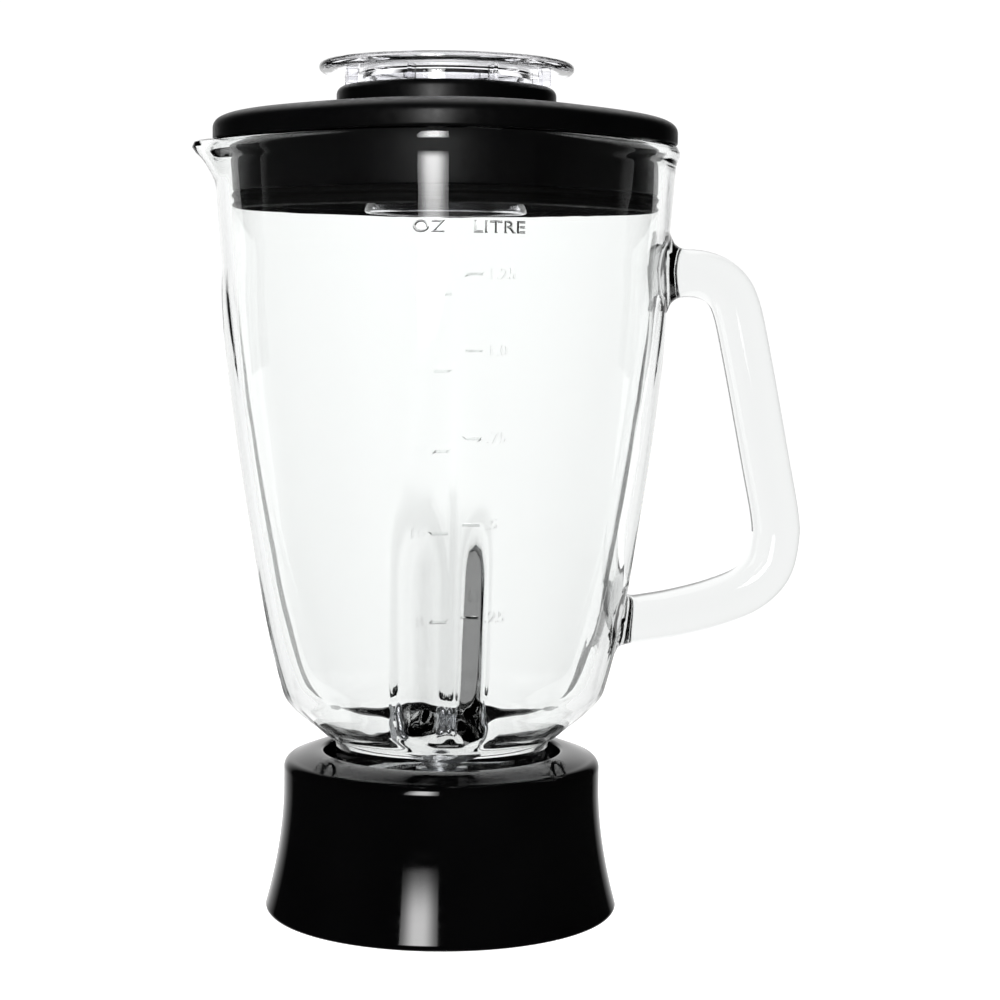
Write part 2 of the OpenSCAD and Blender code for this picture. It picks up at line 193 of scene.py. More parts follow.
def fade_softbox(data):
    """Weakens a softbox towards its lower end and its two sides."""
    data.use_nodes = True
    nodes, links = data.node_tree.nodes, data.node_tree.links
    split = nodes.new("ShaderNodeSeparateXYZ")
    links.new(nodes.new("ShaderNodeNewGeometry").outputs["Parametric"], split.inputs[0])

    def ramp(value, start, end, low):
        node = nodes.new("ShaderNodeMapRange")
        node.interpolation_type = "SMOOTHSTEP"
        node.inputs["From Min"].default_value = start
        node.inputs["From Max"].default_value = end
        node.inputs["To Min"].default_value = low
        node.inputs["To Max"].default_value = 1.0
        links.new(value, node.inputs["Value"])
        return node.outputs[0]

    def product(first, second):
        node = nodes.new("ShaderNodeMath")
        node.operation = "MULTIPLY"
        links.new(first, node.inputs[0])
        links.new(second, node.inputs[1])
        return node.outputs[0]

    across, up = split.outputs[0], split.outputs[1]
    left = ramp(across, 0.0, EDGE_SHARE, EDGE_LEVEL)
    right = ramp(across, 1.0, 1.0 - EDGE_SHARE, EDGE_LEVEL)
    strength = product(product(left, right), ramp(up, 0.0, FADE_HEIGHT, FADE_LEVEL))
    links.new(strength, nodes["Emission"].inputs["Strength"])


def make_softbox(name, azimuth, low, high, distance, width, radiance):
    """An upright area light, turned to the object's axis. Azimuth 0 is -Y and + is to the right; low
    and high are the heights of its edges."""
    data = bpy.data.lights.new(name, "AREA")
    data.shape = "RECTANGLE"
    data.size = width
    data.size_y = high - low
    data.energy = radiance * data.size * data.size_y * math.pi
    fade_softbox(data)
    light = bpy.data.objects.new(name, data)
    bpy.context.scene.collection.objects.link(light)
    a = math.radians(azimuth)
    light.location = (distance * math.sin(a), -distance * math.cos(a), (low + high) / 2)
    light.rotation_euler = (math.pi / 2, 0, a)
    light.visible_camera = False
    light.visible_transmission = False
    data.use_shadow = False


def make_top_light(height, size, radiance):
    data = bpy.data.lights.new("top_light", "AREA")
    data.size = size
    data.energy = radiance * size * size * math.pi
    light = bpy.data.objects.new("top_light", data)
    bpy.context.scene.collection.objects.link(light)
    light.location = (0, 0.2, height)
    light.visible_camera = False
    light.visible_glossy = False
    light.visible_transmission = False


# Upright cards between two azimuths from the +Y direction, on both sides
FLAGS = ((60, 78), (102, 120))
FLAG_DISTANCE = 1.2
FLAG_FOOT = 0.001
FLAG_HEIGHT = 1.4


def make_flags():
    """Dark cards that only refracted light meets. They draw dark lines along the edges of the glass."""
    material = bpy.data.materials.new("flag_dark")
    material.use_nodes = True
    shader = material.node_tree.nodes["Principled BSDF"]
    shader.inputs["Base Color"].default_value = (0, 0, 0, 1)
    shader.inputs["Specular IOR Level"].default_value = 0

    def card(corners):
        flag = new_object("flag", [Vector(c) / MM for c in corners], [(0, 1, 2, 3)], material)
        flag.visible_camera = False
        flag.visible_diffuse = False
        flag.visible_glossy = False
        flag.visible_shadow = False

    for low, high in FLAGS:
        for side in (-1, 1):
            ends = [(FLAG_DISTANCE * math.sin(a), FLAG_DISTANCE * math.cos(a))
                    for a in (side * math.radians(low), side * math.radians(high))]
            foot = [(x, y, FLAG_FOOT) for x, y in ends]
            head = [(x, y, FLAG_HEIGHT) for x, y in ends[::-1]]
            card(foot + head)


FLOOR_GLOW = 0.8
FLOOR_RADIUS = 3.0
TOP_RADIANCE = 0.8


def make_floor():
    bpy.ops.mesh.primitive_circle_add(vertices=96, radius=FLOOR_RADIUS, fill_type="NGON")
    floor = bpy.context.object
    floor.name = "floor"
    material = bpy.data.materials.new("floor_white")
    material.use_nodes = True
    shader = material.node_tree.nodes["Principled BSDF"]
    shader.inputs["Base Color"].default_value = (0.9, 0.9, 0.9, 1)
    shader.inputs["Roughness"].default_value = 0.6
    shader.inputs["Specular IOR Level"].default_value = 0.2
    shader.inputs["Emission Color"].default_value = (1, 1, 1, 1)
    shader.inputs["Emission Strength"].default_value = FLOOR_GLOW
    floor.data.materials.append(material)
    floor.visible_glossy = False
    floor.visible_transmission = False


# ---------------------------------------------------------------- materials


class Surface:
    """A procedural material: a principled shader and the nodes that vary it."""

    def __init__(self, name, **values):
        self.material = bpy.data.materials.new(name)
        self.material.use_nodes = True
        self.nodes = self.material.node_tree.nodes
        self.links = self.material.node_tree.links
        self.shader = self.nodes["Principled BSDF"]
        for key, value in values.items():
            self.shader.inputs[key.replace("_", " ")].default_value = value
        self.coords = self.nodes.new("ShaderNodeTexCoord").outputs["Object"]
        self.normal = None

    def noise(self, scale, detail=3.0, stretch=(1, 1, 1)):
        mapping = self.nodes.new("ShaderNodeMapping")
        mapping.inputs["Scale"].default_value = stretch
        self.links.new(self.coords, mapping.inputs["Vector"])
        node = self.nodes.new("ShaderNodeTexNoise")
        node.inputs["Scale"].default_value = scale
        node.inputs["Detail"].default_value = detail
        self.links.new(mapping.outputs[0], node.inputs["Vector"])
        return node.outputs["Fac"]

    def ramp(self, value, low, high):
        node = self.nodes.new("ShaderNodeMapRange")
        node.inputs["From Min"].default_value = 0.3
        node.inputs["From Max"].default_value = 0.7
        node.inputs["To Min"].default_value = low
        node.inputs["To Max"].default_value = high
        self.links.new(value, node.inputs["Value"])
        return node.outputs["Result"]

    def roughness(self, value, low, high):
        self.links.new(self.ramp(value, low, high), self.shader.inputs["Roughness"])

    def colour(self, value, dark, light):
        node = self.nodes.new("ShaderNodeMix")
        node.data_type = "RGBA"
        node.inputs[6].default_value = (*dark, 1)
        node.inputs[7].default_value = (*light, 1)
        self.links.new(self.ramp(value, 0, 1), node.inputs[0])
        self.links.new(node.outputs[2], self.shader.inputs["Base Color"])

    def absorb(self, colour, density):
        node = self.nodes.new("ShaderNodeVolumeAbsorption")
        node.inputs["Color"].default_value = (*colour, 1)
        node.inputs["Density"].default_value = density
        self.links.new(node.outputs[0], self.nodes["Material Output"].inputs["Volume"])

    def bump(self, value, distance, strength=1.0):
        node = self.nodes.new("ShaderNodeBump")
        node.inputs["Distance"].default_value = distance
        node.inputs["Strength"].default_value = strength
        self.links.new(value, node.inputs["Height"])
        if self.normal:
            self.links.new(self.normal, node.inputs["Normal"])
        self.normal = node.outputs[0]
        self.links.new(self.normal, self.shader.inputs["Normal"])


GLASS_TINT = (0.9375, 0.938, 0.938)
GLASS_DENSITY = 290.0


def pressed_glass():
    """Clear soda-lime glass with the slow ripples of a pressing."""
    s = Surface("pressed_glass", Transmission_Weight=1.0, IOR=1.51, Roughness=0.0)
    s.shader.inputs["Base Color"].default_value = (0.985, 0.995, 0.99, 1)
    s.bump(s.noise(38, 2, (1, 1, 0.45)), 0.0005, 0.35)
    s.absorb(GLASS_TINT, GLASS_DENSITY)
    return s.material


def clear_plastic():
    """Clear moulded styrene with a faint violet cast at its edges and light scuffs."""
    s = Surface("clear_plastic", Transmission_Weight=1.0, IOR=1.57)
    s.shader.inputs["Base Color"].default_value = (0.95, 0.95, 0.975, 1)
    s.roughness(s.noise(90, 4), 0.0, 0.05)
    s.bump(s.noise(60, 2), 0.0002, 0.2)
    return s.material


def satin_black():
    """Black moulded plastic with a fine spark-eroded grain that breaks its highlights up."""
    s = Surface("satin_black", Specular_IOR_Level=0.12)
    s.colour(s.noise(26, 3), (0.0006, 0.0006, 0.0007), (0.0014, 0.0014, 0.0015))
    s.roughness(s.noise(420, 3), 0.3, 0.4)
    s.bump(s.noise(2600, 2), 0.00002, 0.35)
    s.bump(s.noise(30, 2), 0.0002, 0.15)
    return s.material


def gloss_black():
    """Polished black plastic: faint haze, slow moulding waves and hairline rubs."""
    s = Surface("gloss_black", Specular_IOR_Level=0.3)
    s.colour(s.noise(20, 3), (0.0005, 0.0005, 0.0006), (0.0013, 0.0013, 0.0014))
    s.roughness(s.noise(140, 4, (1, 1, 3)), 0.035, 0.085)
    s.bump(s.noise(34, 2, (1, 1, 0.5)), 0.0003, 0.2)
    s.bump(s.noise(900, 3, (1, 1, 6)), 0.000012, 0.2)
    return s.material


def black_moulding():
    s = Surface("black_moulding", Specular_IOR_Level=0.35)
    s.colour(s.noise(60, 4), (0.006, 0.006, 0.0065), (0.014, 0.014, 0.015))
    s.roughness(s.noise(300, 4), 0.38, 0.55)
    s.bump(s.noise(1500, 3), 0.00003, 0.4)
    return s.material


def rubber(name, dark, light):
    s = Surface(name, Specular_IOR_Level=0.03)
    s.colour(s.noise(80, 4), dark, light)
    s.roughness(s.noise(240, 4), 0.5, 0.72)
    s.bump(s.noise(900, 4), 0.00004, 0.5)
    return s.material


def brushed_steel(name, stretch):
    """Steel with fine lines: stretch flattens the noise along the direction of the brushing."""
    s = Surface(name, Metallic=1.0)
    s.colour(s.noise(40, 4), (0.5, 0.51, 0.53), (0.68, 0.69, 0.71))
    lines = s.noise(900, 3, stretch)
    s.roughness(lines, 0.16, 0.36)
    s.bump(lines, 0.00003, 0.35)
    return s.material


def bronze():
    s = Surface("sintered_bronze", Metallic=1.0)
    s.colour(s.noise(700, 4), (0.3, 0.17, 0.07), (0.5, 0.32, 0.15))
    s.roughness(s.noise(1200, 3), 0.32, 0.55)
    s.bump(s.noise(2200, 3), 0.00004, 0.5)
    return s.material


# ---------------------------------------------------------------- mesh helpers


def new_object(name, verts, faces, material=None):
    """A mesh object from points in millimetres."""
    mesh = bpy.data.meshes.new(name)
    mesh.from_pydata((np.asarray(verts, float) * MM).tolist(), [], faces)
    mesh.validate()
    mesh.update()
    obj = bpy.data.objects.new(name, mesh)
    bpy.context.scene.collection.objects.link(obj)
    if material:
        mesh.materials.append(material)
    return obj


def smooth(obj, angle=35):
    obj.data.shade_smooth()
    obj.data.set_sharp_from_angle(angle=math.radians(angle))
    return obj


def finish_piece(obj, body, slot, *replaced):
    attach(obj, body)
    if replaced:
        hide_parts(*replaced)


def apply_modifiers(obj):
    """Bakes an object's modifiers into its mesh."""
    graph = bpy.context.evaluated_depsgraph_get()
    mesh = bpy.data.meshes.new_from_object(obj.evaluated_get(graph))
    obj.modifiers.clear()
    old = obj.data
    obj.data = mesh
    bpy.data.meshes.remove(old)


def boolean(obj, other, operation):
    modifier = obj.modifiers.new("boolean", "BOOLEAN")
    modifier.solver = "MANIFOLD"
    modifier.operation = operation
    modifier.object = other
    apply_modifiers(obj)
    bpy.data.objects.remove(other)


def join(objects, name):
    """One object that holds the meshes of several."""
    merged = bmesh.new()
    for obj in objects:
        merged.from_mesh(obj.data)
    mesh = bpy.data.meshes.new(name)
    merged.to_mesh(mesh)
    merged.free()
    for material in objects[0].data.materials:
        mesh.materials.append(material)
    for obj in objects:
        bpy.data.objects.remove(obj)
    result = bpy.data.objects.new(name, mesh)
    bpy.context.scene.collection.objects.link(result)
    return result


def ring_grid(points, closed=True):
    """Faces of a grid of rings, points[ring][column]. A closed one joins its last ring to its first;
    an open one gets flat caps."""
    rows, columns = points.shape[:2]
    faces = []
    for r in range(rows if closed else rows - 1):
        below, above = r * columns, ((r + 1) % rows) * columns
        for i in range(columns):
            j = (i + 1) % columns
            faces.append((below + i, below + j, above + j, above + i))
    if not closed:
        faces.append(tuple(range(columns - 1, -1, -1)))
        faces.append(tuple((rows - 1) * columns + i for i in range(columns)))
    return points.reshape(-1, 3), faces


def lathe(name, profile, material, segments=160):
    """A ring turned from a closed outline of (radius, height) points."""
    angles = np.linspace(0, 2 * math.pi, segments, endpoint=False)
    points = np.array([[(r * math.cos(a), r * math.sin(a), z) for a in angles] for r, z in profile])
    return new_object(name, *ring_grid(points), material)


RADIAL_COUNT = 8
RADIAL_START = 22.5


def radial_blocks(name, radii, half_w, heights, material):
    """Eight blocks evenly round the axis, each between two radii and two heights."""
    faces = [(0, 1, 3, 2), (4, 6, 7, 5), (0, 4, 5, 1), (2, 3, 7, 6), (0, 2, 6, 4), (1, 5, 7, 3)]
    blocks = []
    for i in range(RADIAL_COUNT):
        a = math.radians(RADIAL_START + i * 360 / RADIAL_COUNT)
        points = [
            (r * math.cos(a) - w * math.sin(a), r * math.sin(a) + w * math.cos(a), z)
            for r in radii
            for w in (-half_w, half_w)
            for z in heights
        ]
        blocks.append(new_object(name, points, faces, material))
    return blocks


def bezier(a, b, c, d, steps):
    a, b, c, d = (np.array(p, float) for p in (a, b, c, d))
    return [
        tuple((1 - t) ** 3 * a + 3 * t * (1 - t) ** 2 * b + 3 * t * t * (1 - t) * c + t**3 * d)
        for t in np.linspace(0, 1, steps + 1)
    ]


def arc(centre, radius, start, end, steps=6):
    """Points of an arc in an outline, with angles in degrees from the outward direction."""
    return [
        (centre[0] + radius * math.cos(math.radians(a)), centre[1] + radius * math.sin(math.radians(a)))
        for a in np.linspace(start, end, steps + 1)
    ]


def resample(outline, step):
    """The same outline with points an even distance apart."""
    points = np.array(outline, float)
    lengths = np.r_[0, np.cumsum(np.linalg.norm(np.diff(points, axis=0), axis=1))]
    count = max(2, int(round(lengths[-1] / step)) + 1)
    at = np.linspace(0, lengths[-1], count)
    return np.column_stack([np.interp(at, lengths, points[:, k]) for k in range(2)])


# ---------------------------------------------------------------- glass jug

JUG_LO, JUG_HI = node_box("glass_jug")
LID_LO, LID_HI = node_box("lid_cover")
SEAL_LO = node_box("lid_seal")[0]
CAP_LO, CAP_HI = node_box("measuring_cap")
COLLAR_HI = node_box("base_collar")[1]

SIDE_PULL = 0.09
FOOT_Z = JUG_LO.z
RIM_Z = JUG_HI.z
BEAD = 0.9
RIM_R = JUG_HI.y - BEAD
FOOT_R = 32.6
FOOT_BORE_R = 28.0
SHOULDER_Z = 54.8
BOWL_Z = 67.7
WALL_TOP = 3.2
WALL_LOW = 5.2
SWELL_MID_Z, SWELL_LOW_Z, SWELL_HIGH_Z = 120.0, 58.0, 196.0
FLUTE_SWELL = 2.0
FLUTE_TOP_Z, FLUTE_WIDE_Z, FLUTE_END_Z = 195.0, 100.0, 58.8
FLUTE_HALF_W = 13.2
FLUTE_DEPTH = 4.4
RIB_HALF_W = 13.6
RIB_DEPTH = 2.0
RIB_END_Z = 57.0
BAFFLE_HEIGHT = 8.5
# Half-widths of the steep rib's top and foot, on the side of rising and of falling angles
BAFFLE_TOP_PLUS, BAFFLE_TOP_MINUS = 3.8, 3.0
BAFFLE_FOOT_PLUS, BAFFLE_FOOT_MINUS = 11.2, 18.0
BAFFLE_TOP_Z = 135.0
BAFFLE_RUN = 27.0
BAFFLE_RUN_LOW = 6.0
FRONT_OR_BACK = 0.7
FLUTE_EDGE = 0.01
GROOVE_SHARE = 0.5
GROOVE_WIDTH = 0.38
SPOUT_LOW_Z = 221.0
SPOUT_OUT = 5.6
SPOUT_HALF_W = 11.0
JUG_COLUMNS = 288


def square_factor(angle, pull):
    """A rounded square with its corners on the axes."""
    return 1 - pull / 2 * (1 - np.cos(4 * angle))


def pull_at(z):
    return SIDE_PULL * np.clip((z - SHOULDER_Z) / 60, 0, 1)


def swell_share(z):
    span = np.where(z > SWELL_MID_Z, SWELL_HIGH_Z - SWELL_MID_Z, SWELL_MID_Z - SWELL_LOW_Z)
    u = np.clip(np.abs(z - SWELL_MID_Z) / span, 0, 1)
    return (1 - u**4) ** 0.77


def flute_width(z):
    """A pointed top and an arched lower end, as a share of the flute's widest."""
    up = np.clip((z - FLUTE_WIDE_Z) / (FLUTE_TOP_Z - FLUTE_WIDE_Z), 0, 1)
    down = np.clip((FLUTE_WIDE_Z - z) / (FLUTE_WIDE_Z - FLUTE_END_Z), 0, 1)
    return (1 - up**2) ** 0.7 * (1 - down**6) ** 0.6


def flute_depth(z, end_z):
    """Deepest at the bowl, running out to nothing at the top; shut off where the bowl turns in."""
    rise = np.clip((z - BOWL_Z) / (FLUTE_TOP_Z - BOWL_Z), 0, 1)
    return (1 - rise**2) ** 1.3 * np.clip((z - end_z) / 9, 0, 1) ** 0.8


def corner_distance(angle, r):
    near = np.mod(angle + math.pi / 4, math.pi / 2) - math.pi / 4
    return r * np.sin(near)


def flute_push(angle, r, z):
    """How far each corner's outside is pressed in: a shallow hollow with a groove along its middle."""
    across = corner_distance(angle, r) / np.maximum(FLUTE_HALF_W * flute_width(z), 0.5)
    x = 1 - across**2
    hollow = 0.5 * (x + np.sqrt(x * x + FLUTE_EDGE))
    groove = np.exp(-((across / GROOVE_WIDTH) ** 2))
    shape = hollow + GROOVE_SHARE * (groove - hollow)
    return FLUTE_DEPTH * flute_depth(z, FLUTE_END_Z) * shape


def eased(x):
    return x * x * (3 - 2 * x)


def rib_push(angle, r, z):
    """How far each corner's inside bulges in behind its flute. The front and back corners also carry a
    steep rib along their lower half."""
    across = corner_distance(angle, r)
    x = np.clip(1 - (across / RIB_HALF_W) ** 2, 0, 1)
    foot = np.where(across > 0, BAFFLE_FOOT_PLUS, BAFFLE_FOOT_MINUS)
    top = np.where(across > 0, BAFFLE_TOP_PLUS, BAFFLE_TOP_MINUS)
    flank = np.clip((foot - np.abs(across)) / (foot - top), 0, 1)
    upper = np.clip((BAFFLE_TOP_Z - z) / BAFFLE_RUN, 0, 1)
    lower = np.clip((z - RIB_END_Z) / BAFFLE_RUN_LOW, 0, 1)
    share = upper * lower
    bulge = RIB_DEPTH * flute_depth(z, RIB_END_Z) * x**1.3
    front_or_back = np.abs(np.sin(angle)) > FRONT_OR_BACK
    return bulge + BAFFLE_HEIGHT * eased(share) * eased(flank) * front_or_back


def spout_push(angle, r, z):
    rise = np.clip((z - SPOUT_LOW_Z) / (RIM_Z - 2 - SPOUT_LOW_Z), 0, 1)
    across = np.where(np.cos(angle) < 0, r * np.sin(angle), 99.0)
    return SPOUT_OUT * rise**1.25 * np.exp(-1.6 * (across / SPOUT_HALF_W) ** 2)


def jug_radius(angle, r, z, push):
    wide = r + FLUTE_SWELL * swell_share(z)
    body = wide * square_factor(angle, pull_at(z))
    return body - push(angle, wide, z) + spout_push(angle, wide, z)


def side_curve(steps):
    return bezier((48.8, BOWL_Z), (49.7, 71), (62, 110), (RIM_R, 231), steps)


def outer_outline():
    """The jug's outside, from the foot's lower edge up to the top of the rim."""
    foot = arc((FOOT_R - 0.9, FOOT_Z + 0.9), 0.9, -90, 0, 4) + [(FOOT_R, 50.6)]
    root = bezier((FOOT_R, 50.8), (FOOT_R, 53.4), (34.4, 53.4), (36.2, SHOULDER_Z), 6)
    bowl = bezier((36.2, SHOULDER_Z), (41, 58.8), (46.8, 63.6), (48.8, BOWL_Z), 10)
    side = [p for p in side_curve(60) if p[1] < 226]
    bead_r = RIM_R + BEAD
    bead = bezier((RIM_R - 0.2, 228), (RIM_R + 0.1, 229.4), (bead_r, 229.4), (bead_r, 231.2), 5)
    top = arc((bead_r - 2.3, RIM_Z - 2.3), 2.3, 0, 90, 6)
    return foot + root[1:] + bowl[1:] + side[1:] + bead + top


def inner_outline():
    """The jug's inside, from the top of the rim down to the foot's lower edge."""
    lip = bezier((RIM_R - 2.0, RIM_Z), (RIM_R - 3.0, RIM_Z), (RIM_R - WALL_TOP, 232.6),
                 (RIM_R - WALL_TOP - 0.2, 229), 5)
    side = []
    for r, z in side_curve(40)[::-1]:
        low = (RIM_Z - z) / (RIM_Z - BOWL_Z)
        side.append((r - WALL_TOP - (WALL_LOW - WALL_TOP) * low, z + 4 * low))
    side = [p for p in side if p[1] < 226]
    bowl = bezier(side[-1], (42.2, 66.6), (38.5, 63.4), (34, 59.6), 8)
    throat = bezier((34, 59.6), (29.6, 56.0), (FOOT_BORE_R, 54.4), (FOOT_BORE_R, 51), 6)
    foot = [(FOOT_BORE_R, 40)] + arc((FOOT_BORE_R + 0.7, FOOT_Z + 0.7), 0.7, 180, 270, 3)
    return lip + side + bowl[1:] + throat[1:] + foot


def jug_rings(outline, push, step):
    angles = np.linspace(0, 2 * math.pi, JUG_COLUMNS, endpoint=False)
    rings = resample(outline, step)
    r, z = rings[:, :1], rings[:, 1:]
    radius = jug_radius(angles[None, :], r, z, push)
    heights = np.broadcast_to(z, radius.shape)
    return np.dstack([radius * np.cos(angles), radius * np.sin(angles), heights])


OUTER_TABLE = resample(outer_outline(), 0.5)


def outer_radius_at(angle, z):
    """The outside's radius at a height, for pieces that lie on the glass."""
    rows = OUTER_TABLE[:, 1]
    r = np.interp(z, rows, OUTER_TABLE[:, 0])
    return jug_radius(angle, r, z, flute_push)


def wall_x(y, z):
    """X of the glass at the handle's corner, for given Y and Z."""
    radius = outer_radius_at(np.zeros_like(y), z)
    for _ in range(6):
        angle = np.arcsin(np.clip(y / radius, -0.9, 0.9))
        radius = outer_radius_at(angle, z)
    return radius * np.cos(angle)


def make_wall(material):
    outside = jug_rings(outer_outline(), flute_push, 1.7)
    inside = jug_rings(inner_outline(), rib_push, 2.0)
    rings = np.concatenate([outside, inside])
    return new_object("glass_jug_body", *ring_grid(rings), material)


HANDLE_T = 14.6
HANDLE_D = 19.0
HANDLE_PATH = [
    (58, 195.2), (66, 195.7), (72, 195.9), (79, 195.4), (85.2, 192.4), (89.2, 186.0), (92.8, 171),
    (99.1, 139.4), (102.5, 122), (102.8, 114), (100.6, 105.2), (94.2, 98.8), (84, 94.6), (72, 91.5),
    (62, 89.8), (50, 88.2),
]
HANDLE_SQUARENESS = 2.3
HANDLE_FLARE = 6.0
# Rings that lie deeper in the wall than the first on average are left out; the rest reach in by the
# second at most
HANDLE_SINK = 3.2
HANDLE_ROOT = 1.2
HANDLE_COLUMNS = 48


def spline(points, step):
    """A smooth line through points, resampled evenly."""
    p = np.array([points[0], *points, points[-1]], float)
    out = []
    for a, b, c, d in zip(p, p[1:], p[2:], p[3:]):
        for t in np.linspace(0, 1, 12, endpoint=False):
            square = (2 * a - 5 * b + 4 * c - d) * t * t
            cube = (3 * b - a - 3 * c + d) * t**3
            out.append(0.5 * (2 * b + (c - a) * t + square + cube))
    out.append(p[-1])
    return resample(out, step)


def handle_rings():
    """Rings round the handle's line. Near the wall each ring opens out like a trumpet and lies along
    the glass."""
    line = spline(HANDLE_PATH, 1.3)
    tangents = np.gradient(line, axis=0)
    tangents /= np.linalg.norm(tangents, axis=1)[:, None]
    turn = np.linspace(0, 2 * math.pi, HANDLE_COLUMNS, endpoint=False)
    power = 2 / HANDLE_SQUARENESS
    u = np.sign(np.cos(turn)) * np.abs(np.cos(turn)) ** power
    v = np.sign(np.sin(turn)) * np.abs(np.sin(turn)) ** power
    rings = []
    for (x, z), (tx, tz) in zip(line, tangents):
        px = x + tz * u * HANDLE_T / 2
        pz = z - tx * u * HANDLE_T / 2
        py = v * HANDLE_D / 2
        rings.append(np.column_stack([px, py, pz]))
    rings = np.array(rings)
    gaps = rings[:, :, 0] - wall_x(rings[:, :, 1], rings[:, :, 2])
    kept = [i for i in range(len(rings)) if gaps[i].mean() > -HANDLE_SINK]
    rings, gaps, line = rings[kept], gaps[kept], line[kept]
    near = np.clip(gaps, -HANDLE_ROOT, None)
    opening = np.clip(1 - np.clip(near, 0, None) / HANDLE_FLARE, 0, 1)
    grow = HANDLE_FLARE * (1 - np.sqrt(1 - opening**2))
    centres = np.column_stack([line[:, 0], np.zeros(len(line)), line[:, 1]])[:, None, :]
    away = rings - centres
    away[:, :, 0] = 0
    away /= np.maximum(np.linalg.norm(away, axis=2, keepdims=True), 1e-6)
    opened = rings + away * grow[:, :, None]
    lies = wall_x(opened[:, :, 1], opened[:, :, 2]) + near
    share = np.clip(1 - near / (HANDLE_FLARE * 1.6), 0, 1)
    opened[:, :, 0] = opened[:, :, 0] * (1 - share) + lies * share
    return opened


def make_handle(material):
    rings = handle_rings()
    return new_object("handle", *ring_grid(rings, closed=False), material)


FOOT_THREAD_H = 1.6
THREAD_Z = 37.0
THREAD_LEAD = 16.0
THREAD_HALF = 1.7


def thread_ridge(name, base_r, tip_r, z, start, sweep, material):
    """One helical ridge, standing on (or in) a cylinder, with run-in ends."""
    steps = 48
    inward = tip_r < base_r
    sink = base_r + (0.8 if inward else -0.8)
    rings = []
    for i in range(steps + 1):
        a = math.radians(start + sweep * i / steps)
        full = min(1, 0.1 + 6 * min(i, steps - i) / steps)
        tip = base_r + (tip_r - base_r) * full
        centre = z + THREAD_LEAD * sweep * i / steps / 360
        outline = [
            (sink, -THREAD_HALF), (base_r, -THREAD_HALF), (tip, -0.9), (tip + (base_r - tip) * 0.1, 0),
            (tip, 0.9), (base_r, THREAD_HALF), (sink, THREAD_HALF),
        ]
        if inward:
            outline = outline[::-1]
        rings.append([(r * math.cos(a), r * math.sin(a), centre + h) for r, h in outline])
    points = np.array(rings)
    return new_object(name, *ring_grid(points, closed=False), material)


# Scale: (text, height of its middle)
OUNCES = [("40", 188.3), ("32", 167.1), ("24", 144.8), ("16", 121.4), ("8", 95.7)]
LITRES = [("1.25", 193.9), ("1.0", 172.8), (".75", 148.4), (".5", 123.9), (".25", 97.1)]
TICK_FROM, TICK_TO = 2.0, 6.6
TICK_T = 0.75
NUMERAL_SIZE = 4.6
NUMERAL_GAP = 1.4
HEADER_SIZE = 6.0
HEADER_Z = 206.7
HEADER_TALL = 0.78
RELIEF = 0.38
HEADER_BEVEL = 0.4
HEADER_STEEPNESS = 2.0
SINK = 0.3


def on_corner(points):
    """Maps (across, up, out) millimetres on to the front corner of the glass."""
    across, up, out = points.T
    middle = outer_radius_at(np.full_like(across, -math.pi / 2), up)
    angle = -math.pi / 2 + across / middle
    radius = outer_radius_at(angle, up) + out
    return np.column_stack([radius * np.cos(angle), radius * np.sin(angle), up])


def tick(low, high, up):
    """A raised bar between two distances across, as points and faces."""
    across = np.linspace(low, high, 6)
    bottom, top = up - TICK_T / 2, up + TICK_T / 2
    points, faces = [], []
    for a in across:
        points += [(a, bottom, -SINK), (a, top, -SINK), (a, top, RELIEF), (a, bottom, RELIEF)]
    for i in range(len(across) - 1):
        for k in range(4):
            n = (k + 1) % 4
            faces.append((4 * i + k, 4 * i + 4 + k, 4 * i + 4 + n, 4 * i + n))
    last = 4 * (len(across) - 1)
    faces += [(0, 1, 2, 3), (last + 3, last + 2, last + 1, last)]
    return np.array(points), faces


def lettering(text, size, across, up, align, bevel=0.0, tall=1.0):
    """Raised characters as an object on the glass. With a bevel their flanks slope."""
    curve = bpy.data.curves.new("characters", "FONT")
    curve.body = text
    curve.size = size
    curve.align_x = align
    curve.align_y = "CENTER"
    curve.resolution_u = 3
    curve.space_character = 1.08
    if bevel:
        curve.bevel_depth = bevel
        curve.bevel_resolution = 0
        curve.offset = -bevel * 0.6
    else:
        curve.extrude = (RELIEF + SINK) / 2
    source = bpy.data.objects.new("characters", curve)
    bpy.context.scene.collection.objects.link(source)
    graph = bpy.context.evaluated_depsgraph_get()
    mesh = bpy.data.meshes.new_from_object(source.evaluated_get(graph))
    bpy.data.objects.remove(source)
    work = bmesh.new()
    work.from_mesh(mesh)
    bmesh.ops.remove_doubles(work, verts=work.verts, dist=1e-4)
    bmesh.ops.triangulate(work, faces=work.faces)
    bmesh.ops.recalc_face_normals(work, faces=work.faces)
    points = np.array([v.co for v in work.verts])
    points *= (1, tall, HEADER_STEEPNESS if bevel else 1)
    points += (across, up, 0 if bevel else (RELIEF - SINK) / 2)
    faces = [tuple(v.index for v in f.verts) for f in work.faces]
    work.free()
    return new_object("characters", on_corner(points), faces)


def make_scale():
    """The moulded ounce and litre scale of the front corner."""
    pieces = []
    numeral_at = TICK_TO + NUMERAL_GAP
    for marks, ends, at, align in (
        (OUNCES, (-TICK_TO, -TICK_FROM), -numeral_at, "RIGHT"),
        (LITRES, (TICK_FROM, TICK_TO), numeral_at, "LEFT"),
    ):
        for text, up in marks:
            points, faces = tick(*ends, up)
            pieces.append(new_object("tick", on_corner(points), faces))
            pieces.append(lettering(text, NUMERAL_SIZE, at, up, align))
    for text, at in (("OZ", -8.6), ("LITRE", 11.4)):
        pieces.append(lettering(text, HEADER_SIZE, at, HEADER_Z, "CENTER", HEADER_BEVEL, HEADER_TALL))
    return join(pieces, "scale")


